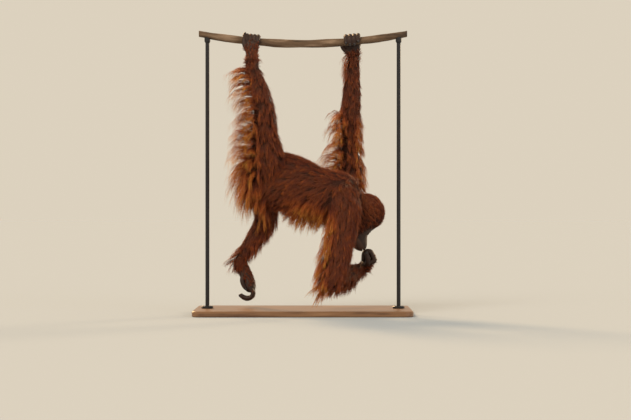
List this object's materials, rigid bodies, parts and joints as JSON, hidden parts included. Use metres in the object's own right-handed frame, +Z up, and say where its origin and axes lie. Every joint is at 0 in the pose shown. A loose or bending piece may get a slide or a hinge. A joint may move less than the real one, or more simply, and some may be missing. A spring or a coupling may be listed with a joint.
{
  "type": "orangutan model",
  "caption": "Life-size model of an orangutan that hangs by one hand and one foot from a cut length of liana, held up by a plain stand with a flat base.",
  "frame": {"origin": "the middle of the flat underside of the stand's base, on the floor", "axes": "+Z up, +X from the rump towards the head along the liana, +Y to the animal's left"},
  "size_m": [1.08, 0.5629, 1.4164],
  "materials": {
    "coat": "long, clumped rust-red hair with paler, golden tips; modelled as flat locks over a plain core",
    "bare_skin": "dark grey-brown bare skin of the ears, hands and feet, matt to satin",
    "eye": "glossy dark brown eye",
    "bark": "dry, grey-brown bark with shallow twisted ribs",
    "stand_board": "satin oiled board",
    "stand_steel": "satin black paint"
  },
  "bodies": {
    "root": {"ear_left": "bare_skin", "ear_right": "bare_skin", "eye_left": "eye", "eye_right": "eye", "finger_fifth_left": "bare_skin", "finger_fifth_right": "bare_skin", "finger_fourth_left": "bare_skin", "finger_fourth_right": "bare_skin", "finger_second_left": "bare_skin", "finger_second_right": "bare_skin", "finger_third_left": "bare_skin", "finger_third_right": "bare_skin", "foot_left": "bare_skin", "foot_right": "bare_skin", "forearm_left": "coat", "forearm_right": "coat", "hallux_left": "bare_skin", "hallux_right": "bare_skin", "head": "coat", "neck": "coat", "palm_left": "bare_skin", "palm_right": "bare_skin", "perch": "bark", "shank_left": "coat", "shank_right": "coat", "stand_base": "stand_board", "stand_rod_fore": "stand_steel", "stand_rod_hind": "stand_steel", "thigh_left": "coat", "thigh_right": "coat", "thumb_left": "bare_skin", "thumb_right": "bare_skin", "toe_fifth_left": "bare_skin", "toe_fifth_right": "bare_skin", "toe_fourth_left": "bare_skin", "toe_fourth_right": "bare_skin", "toe_second_left": "bare_skin", "toe_second_right": "bare_skin", "toe_third_left": "bare_skin", "toe_third_right": "bare_skin", "torso": "coat", "upper_arm_left": "coat", "upper_arm_right": "coat"}
  },
  "joints": []
}
